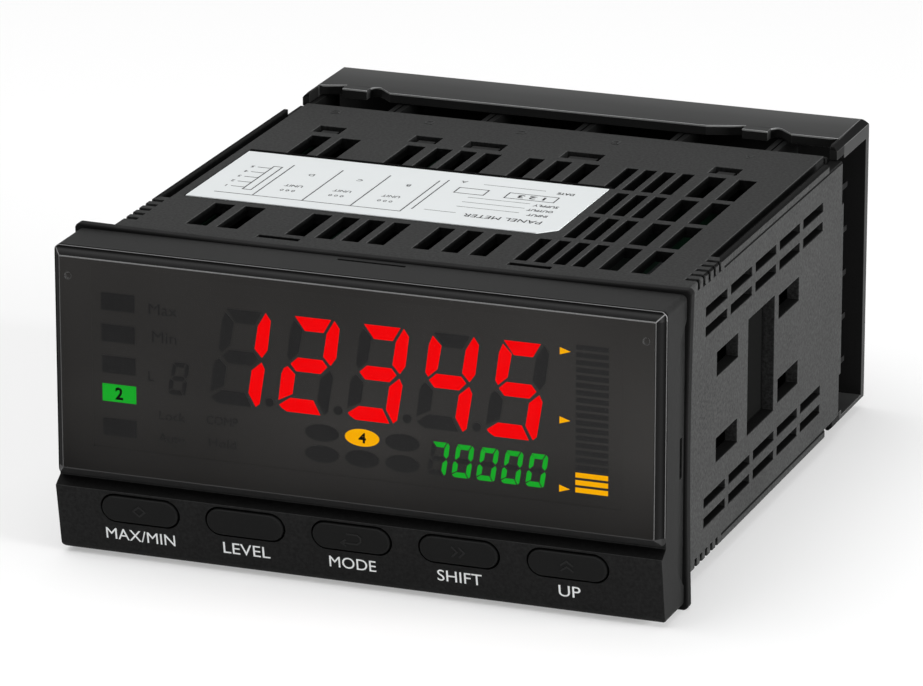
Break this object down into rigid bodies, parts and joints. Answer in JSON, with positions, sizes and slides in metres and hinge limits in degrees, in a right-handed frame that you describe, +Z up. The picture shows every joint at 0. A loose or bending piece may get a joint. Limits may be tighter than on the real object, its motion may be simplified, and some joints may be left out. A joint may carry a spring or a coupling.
{
  "type": "digital panel meter",
  "caption": "Panel-mounted digital meter: bevelled front with segment display and push keys, rubber gasket, vented case with bracket rails, screw terminals under a hooded cover.",
  "frame": {"origin": "middle of the face of the gasket that meets the panel", "axes": "+X to the right seen from the front, +Y to the rear through the panel, +Z up"},
  "size_m": [0.0972, 0.11, 0.0492],
  "materials": {
    "bezel_plastic": "fine grained black moulding",
    "smoked_window": "polished smoked acrylic",
    "display_glass": "dark negative display glass",
    "segment_dark": "unlit segments",
    "segment_red": "lit red segments",
    "segment_green": "lit green segments",
    "segment_amber": "lit amber segments",
    "light_guide": "clear acrylic",
    "white_tray": "white moulding",
    "contact_rubber": "striped elastomer",
    "circuit_board": "solder mask",
    "key_plastic": "fine grained black moulding",
    "switch_plastic": "black moulding",
    "plunger_plastic": "plain moulding",
    "gasket_rubber": "black rubber",
    "case_plastic": "grained charcoal moulding",
    "label_film": "satin white film",
    "liner_film": "black insulating film",
    "socket_plastic": "plain moulding",
    "core_steel": "laminated steel",
    "winding": "taped enamelled wire",
    "capacitor_sleeve": "shrink sleeve",
    "relay_plastic": "black moulding",
    "chip_plastic": "moulded package",
    "shield_tin": "tinned sheet",
    "terminal_plastic": "black moulding",
    "terminal_metal": "nickel plated",
    "screw_steel": "zinc plated",
    "cover_plastic": "fine grained black moulding"
  },
  "bodies": {
    "housing": {"front_bezel": "bezel_plastic", "display_window": "smoked_window", "display_glass": "display_glass", "unlit_segments": "segment_dark", "main_figures": "segment_red", "small_figures": "segment_green", "amber_marks": "segment_amber", "green_mark": "segment_green", "light_guide": "light_guide", "reflector_tray": "white_tray", "glass_contact_strip": "contact_rubber", "display_board": "circuit_board", "switch_body_1": "switch_plastic", "switch_body_2": "switch_plastic", "switch_body_3": "switch_plastic", "switch_body_4": "switch_plastic", "switch_body_5": "switch_plastic", "panel_gasket": "gasket_rubber", "rear_case": "case_plastic", "case_label": "label_film", "side_liner_left": "liner_film", "side_liner_right": "liner_film", "card_socket_1": "socket_plastic", "card_socket_2": "socket_plastic", "card_socket_3": "socket_plastic", "card_socket_4": "socket_plastic", "power_card": "circuit_board", "output_card": "circuit_board", "logic_card": "circuit_board", "input_card": "circuit_board", "transformer_core": "core_steel", "transformer_coil": "winding", "smoothing_capacitor": "capacitor_sleeve", "relay_1": "relay_plastic", "relay_2": "relay_plastic", "processor": "chip_plastic", "input_shield": "shield_tin", "terminal_block_1": "terminal_plastic", "terminal_block_2": "terminal_plastic", "terminal_block_3": "terminal_plastic", "terminal_block_4": "terminal_plastic", "terminal_block_5": "terminal_plastic", "terminal_block_6": "terminal_plastic", "terminal_clamps": "terminal_metal", "terminal_screws": "screw_steel", "terminal_cover": "cover_plastic"},
    "key_1": {"key_cap_1": "key_plastic", "switch_plunger_1": "plunger_plastic"},
    "key_2": {"key_cap_2": "key_plastic", "switch_plunger_2": "plunger_plastic"},
    "key_3": {"key_cap_3": "key_plastic", "switch_plunger_3": "plunger_plastic"},
    "key_4": {"key_cap_4": "key_plastic", "switch_plunger_4": "plunger_plastic"},
    "key_5": {"key_cap_5": "key_plastic", "switch_plunger_5": "plunger_plastic"}
  },
  "joints": [
    {"name": "key_1_press", "type": "slide", "parent": "housing", "child": "key_1", "axis": [0, 1, 0], "range_m": [0, 0.0004], "stiffness_N_per_m": 800},
    {"name": "key_2_press", "type": "slide", "parent": "housing", "child": "key_2", "axis": [0, 1, 0], "range_m": [0, 0.0004], "stiffness_N_per_m": 800},
    {"name": "key_3_press", "type": "slide", "parent": "housing", "child": "key_3", "axis": [0, 1, 0], "range_m": [0, 0.0004], "stiffness_N_per_m": 800},
    {"name": "key_4_press", "type": "slide", "parent": "housing", "child": "key_4", "axis": [0, 1, 0], "range_m": [0, 0.0004], "stiffness_N_per_m": 800},
    {"name": "key_5_press", "type": "slide", "parent": "housing", "child": "key_5", "axis": [0, 1, 0], "range_m": [0, 0.0004], "stiffness_N_per_m": 800}
  ]
}
